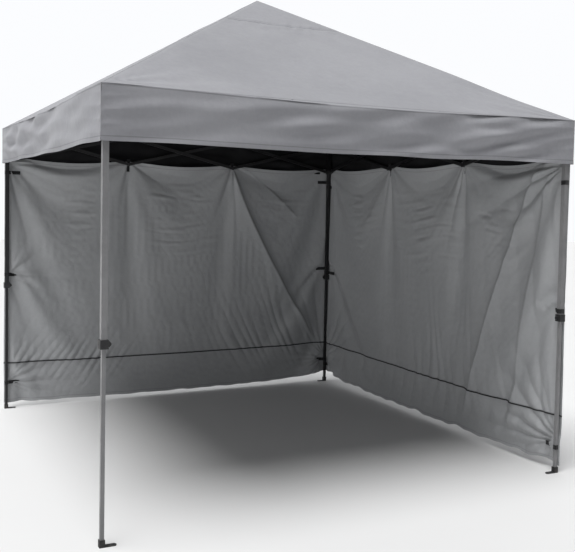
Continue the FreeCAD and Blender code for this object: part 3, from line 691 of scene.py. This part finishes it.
def right_folds(a, z):
    """Folds of the right wall. Its front end is at -WALL_END."""
    loop = BAY / 2
    depth = fan(a, z, (-loop, WALL_TOP), 15, 0.50, 0.0075, 0.3)
    depth += fan(a, z, (loop, WALL_TOP), 15, 0.55, 0.0080, 1.1)
    depth += fan(a, z, (-LEG, WALL_TOP - 0.05), 17, 0.85, 0.0105, 2.0)
    depth += fan(a, z, (LEG, WALL_TOP - 0.05), 14, 0.45, 0.0060, 0.8)
    depth += fan(a, z, (-LEG, 0.18), 20, 0.75, 0.0085, 0.5) + fan(a, z, (LEG, 0.22), 19, 0.50, 0.0065, 1.5)
    depth += long_fold(a, z, (-1.30, WALL_TOP - 0.03), (-0.55, 0.15), 0.75, -0.040)
    depth += long_fold(a, z, (-1.36, WALL_TOP - 0.03), (-1.00, 0.10), 0.9, -0.024)
    drapes = np.exp(-(a + WALL_END) / 0.55)
    drapes = drapes * np.clip((WALL_TOP - z) / 0.3, 0, 1)
    depth += 0.0080 * drapes * pinched(2 * math.pi * (a - 0.10 * z) / 0.17)
    middle = bump_at(a, -0.35, 0.75)
    depth += gathers(a, z, middle, 0.12, 0.34, 0.105, 1.2)
    depth += 0.0055 * bump_at(z, 0.20, 0.13) * pinched(2 * math.pi * (a + 0.2 * z) / 0.15 + np.sin(a * 4.0))
    depth += puckers(a, z, (0.0, 1.55), (0.35, 0.26), 0.080, 0.0048, 0.2)
    depth += puckers(a, z, (0.95, 1.62), (0.24, 0.24), 0.070, 0.0048, 1.0)
    return depth + puckers(a, z, (-0.85, 1.62), (0.28, 0.16), 0.085, 0.0052, 2.1)


def loose_hem(a, z, lift, ragged, seed):
    """How far the low edge is drawn up, mostly beside the back leg at +WALL_END."""
    low = np.exp(-(z - WALL_BOTTOM) / 0.09)
    drawn = lift * np.exp(-(WALL_END - a) / 0.22)
    waved = ragged * (0.5 + 0.5 * waves(a, 0 * a, seed, 6, 0.22))
    waved = waved * np.clip((WALL_END - np.abs(a)) / 0.15, 0, 1)
    return low * (drawn + waved)


def side_wall(name, to_world, span, ends, pins, seed, excess, folds, hem):
    """One wall, cut in the middle into halves. ends are the legs that they ride on, low end first."""
    grid = hanging_cloth(name, span, pins, seed, excess)
    grid = finer(grid, 3)
    a, z = grid[..., 0], grid[..., 2]
    depth = grid[..., 1] + folds(a, z)
    at_leg = np.clip((WALL_END - np.abs(a)) / END_CALM, 0.0, 1.0)
    near_top = np.clip((WALL_TOP - z) / 0.25, 0.15, 1.0)
    grid[..., 1] = np.clip(depth, -BILLOW_IN * at_leg - 0.001, BILLOW_OUT * at_leg * near_top)
    grid[..., 2] += loose_hem(a, z, *hem)
    rows, columns = grid.shape[:2]
    places, levels = np.linspace(-span, span, columns), np.linspace(WALL_BOTTOM, WALL_TOP, rows)
    flat_a, flat_z = np.meshgrid(places, levels)
    points = to_world(grid)
    normals = grid_normals(points)
    outward = to_world(np.array([[[0.0, 1.0, 0.0]]]))[0, 0] - to_world(np.zeros((1, 1, 3)))[0, 0]
    normals[(normals @ outward) < 0] *= -1
    rest = to_world(np.stack([flat_a, 0 * flat_a, flat_z], -1))
    half = columns // 2
    line = np.argmin(np.abs(flat_z[:, 0] - PIPING_HEIGHT))
    for body, (start, stop) in zip(ends, ((0, half + 1), (half, columns))):
        part = (slice(None), slice(start, stop))
        cols = stop - start
        faces, edges = grid_faces(rows, cols)
        flat = points[part].reshape(-1, 3)
        quad = [flat[k] for k in faces[0][:3]]
        flip = np.dot(np.cross(quad[1] - quad[0], quad[2] - quad[0]), outward) < 0
        faces, edges = grid_faces(rows, cols, flip)
        piece = sheet_object(f"{name}_{body}", flat, normals[part], rest[part], faces,
                             (wall_cloth_painted_light, wall_cloth_painted_light), edges)
        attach(piece, body)
        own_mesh(piece)
        cord = piping(f"{name}_piping_{body}", points[line, start:stop], normals[line, start:stop])
        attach(cord, body)
        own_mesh(cord)
        if start == 0:
            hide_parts(name)


def tube(name, path, radius, look, sides=8):
    """A round mesh tube along a path."""
    path = np.asarray(path, float)
    ahead = np.gradient(path, axis=0)
    ahead /= np.linalg.norm(ahead, axis=1, keepdims=True)
    level = np.cross(ahead, [0, 0, 1.0])
    level /= np.linalg.norm(level, axis=1, keepdims=True)
    up = np.cross(level, ahead)
    turn = np.linspace(0, 2 * math.pi, sides, endpoint=False)
    sideways, upwards = (f(turn)[None, :, None] for f in (np.cos, np.sin))
    ring = path[:, None] + radius * (sideways * level[:, None] + upwards * up[:, None])
    count = len(path)
    faces = [
        (i * sides + j, i * sides + (j + 1) % sides, (i + 1) * sides + (j + 1) % sides, (i + 1) * sides + j)
        for i in range(count - 1) for j in range(sides)
    ]
    faces += [tuple(range(sides))[::-1], tuple((count - 1) * sides + j for j in range(sides))]
    mesh = bpy.data.meshes.new(name)
    mesh.from_pydata(ring.reshape(-1, 3).tolist(), [], faces)
    mesh.polygons.foreach_set("use_smooth", np.ones(len(faces), bool))
    mesh.materials.append(look)
    made = bpy.data.objects.new(name, mesh)
    bpy.context.scene.collection.objects.link(made)
    return made


def piping(name, points, normals):
    """The black corded seam on a wall's inner face."""
    normals = normals / np.linalg.norm(normals, axis=1, keepdims=True)
    return tube(name, points - normals * (THICK + PIPING_RADIUS * 0.6), PIPING_RADIUS, strap_black)


def ribbon(name, path, normals, width, thickness, look):
    """A webbing strip whose width runs across its path."""
    path, normals = np.asarray(path, float), np.asarray(normals, float)
    ahead = np.gradient(path, axis=0)
    across = np.cross(ahead, normals)
    across /= np.linalg.norm(across, axis=1, keepdims=True)
    normals = normals / np.linalg.norm(normals, axis=1, keepdims=True)
    half, out = across * width / 2, normals * thickness / 2
    ring = np.stack([path - half - out, path + half - out, path + half + out, path - half + out], 1)
    count = len(path)
    faces = [
        (4 * i + j, 4 * i + (j + 1) % 4, 4 * i + 4 + (j + 1) % 4, 4 * i + 4 + j)
        for i in range(count - 1) for j in range(4)
    ]
    faces += [(3, 2, 1, 0), tuple(4 * (count - 1) + j for j in range(4))]
    mesh = bpy.data.meshes.new(name)
    mesh.from_pydata(ring.reshape(-1, 3).tolist(), [], faces)
    mesh.materials.append(look)
    made = bpy.data.objects.new(name, mesh)
    bpy.context.scene.collection.objects.link(made)
    return made


def leg_strap(name, body, corner, level, along, outward, face):
    """A webbing strap sewn to the wall beside a leg and closed round it."""
    sx, sy = CORNERS[corner]
    centre = np.array([sx * LEG, sy * LEG, level])
    half = (TUBE if level > SPLIT else INNER) + 0.0016
    along, outward = np.array([*along, 0.0]), np.array([*outward, 0.0])
    gap = face - LEG - THICK - 0.001
    corners = [
        along * 0.105 + outward * (gap - 0.001), along * (half + 0.030) + outward * (gap - 0.001),
        along * (half + 0.004) + outward * (half + 0.001), along * half - outward * half,
        -along * half - outward * half, -along * half + outward * (half + 0.001),
        along * (half + 0.006) + outward * (half + 0.0032),
        along * (half + 0.045) + outward * (gap - 0.0032),
    ]
    path = rounded(centre, corners, 0.005)
    ahead = np.gradient(path, axis=0)
    normals = np.cross(ahead, [0, 0, 1.0])
    tilt = 0.05 * np.sin(level * 40)
    path[:, 2] += tilt * ((path - centre) @ along)
    piece = ribbon(name, path, normals, STRAP_WIDTH, WEBBING, strap_black)
    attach(piece, body)
    return piece


def rounded(centre, corners, radius):
    """A path through corners with a small round at each."""
    points = [np.array(corners[0])]
    for before, here, after in zip(corners, corners[1:], corners[2:]):
        near = min(radius, np.linalg.norm(before - here) / 2.2, np.linalg.norm(after - here) / 2.2)
        start = here + (before - here) / np.linalg.norm(before - here) * near
        end = here + (after - here) / np.linalg.norm(after - here) * near
        for t in np.linspace(0, 1, 5):
            points.append((1 - t) ** 2 * start + 2 * t * (1 - t) * here + t**2 * end)
    points.append(np.array(corners[-1]))
    return np.array(points) + centre


def top_loop(name, body, at, outward):
    """A webbing loop from a wall's top edge to the truss."""
    outward = np.array([*outward, 0.0])
    at = np.array([*at, WALL_TOP])
    up = np.array([0, 0, 1.0])
    corners = [-0.085 * up - 0.001 * outward, 0.008 * up - 0.001 * outward, 0.019 * up - 0.012 * outward,
               0.014 * up - 0.022 * outward, -0.004 * up - 0.014 * outward, -0.03 * up - 0.0035 * outward]
    path = rounded(at, corners, 0.006)
    normals = np.cross(np.gradient(path, axis=0), np.cross(up, outward))
    piece = ribbon(name, path, normals, LOOP_WIDTH, WEBBING, strap_black)
    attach(piece, body)
    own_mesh(piece)


def walls():
    span = WALL_END
    third = BAY / 2
    for name, outward, along, ends, drop, seed, excess, folds, hem, bar in (
        ("back_wall", (0, 1), (1, 0), ("leg_back_left", "leg_back_right"), 0.0, 5, 0.005,
         back_folds, (0.055, 0.012, 51), "truss_back_left_falling"),
        ("right_wall", (1, 0), (0, 1), ("leg_front_right", "leg_back_right"), RIGHT_STRAP_DROP, 8, 0.008,
         right_folds, (0.060, 0.035, 52), "truss_right_back_falling"),
    ):
        out, run = np.array([*outward, 0.0]), np.array([*along, 0.0])

        def to_world(grid, out=out, run=run):
            place = grid[..., 0:1] * run + (grid[..., 1:2] + WALL_FACE) * out
            return place + grid[..., 2:3] * np.array([0, 0, 1.0])

        levels = [level - drop for level in STRAPS]
        pins = [(side * third, WALL_TOP, 0.02) for side in (-1, 1)]
        for side in (-1, 1):
            pins.append((side * span, WALL_TOP, 0.035))
            pins += [(side * (LEG - 0.05), level, 0.035) for level in levels]
        side_wall(name, to_world, span, ends, pins, seed, excess, folds, hem)
        for side, body in zip((-1, 1), ends):
            corner = body[4:]
            inward = -np.array(along) * side
            for number, level in enumerate(levels):
                strap = f"{name}_strap_{corner}_{number}"
                leg_strap(strap, body, corner, level, inward, outward, WALL_FACE)
            place = (run * side * third + out * (WALL_FACE - THICK))[:2]
            top_loop(f"{name}_loop_{corner}", body, place, outward)


# Studio
def studio():
    floor = bpy.data.meshes.new("floor")
    size = 30
    ends = [(-size, -size, 0), (size, -size, 0), (size, size, 0), (-size, size, 0)]
    floor.from_pydata(ends, [], [(0, 1, 2, 3)])
    floor.materials.append(floor_material())
    made = bpy.data.objects.new("floor", floor)
    bpy.context.scene.collection.objects.link(made)
    made.location.z = -0.0005
    world = bpy.data.worlds.new("studio")
    world.use_nodes = True
    nodes, links = world.node_tree.nodes, world.node_tree.links
    toward = nodes.new("ShaderNodeVectorMath")
    toward.operation = "DOT_PRODUCT"
    toward.inputs[1].default_value = BRIGHT_SIDE
    links.new(nodes.new("ShaderNodeTexCoord").outputs["Generated"], toward.inputs[0])
    share = nodes.new("ShaderNodeMapRange")
    share.interpolation_type = "SMOOTHSTEP"
    limits = {"From Min": 0.45, "From Max": 0.86, "To Min": AMBIENT, "To Max": BACKDROP}
    for socket, value in limits.items():
        share.inputs[socket].default_value = value
    links.new(toward.outputs["Value"], share.inputs["Value"])
    links.new(share.outputs[0], nodes["Background"].inputs["Strength"])
    nodes["Background"].inputs["Color"].default_value = (0.97, 0.98, 1.0, 1)
    bpy.context.scene.world = world
    sun = bpy.data.lights.new("key", "SUN")
    sun.energy, sun.angle = KEY, math.radians(35)
    light = bpy.data.objects.new("key", sun)
    bpy.context.scene.collection.objects.link(light)
    light.rotation_euler = Vector(KEY_WAY).to_track_quat("-Z", "Y").to_euler()
    soft = bpy.data.lights.new("rake", "AREA")
    soft.energy, soft.size = RAKE, 2.2
    light = bpy.data.objects.new("rake", soft)
    bpy.context.scene.collection.objects.link(light)
    light.location = RAKE_AT
    light.rotation_euler = (Vector((1.0, 1.2, 1.1)) - Vector(RAKE_AT)).to_track_quat("-Z", "Y").to_euler()
    bpy.context.scene.view_settings.view_transform = "Standard"


paint_frame()
roof_pieces()
valance_pieces()
walls()
studio()
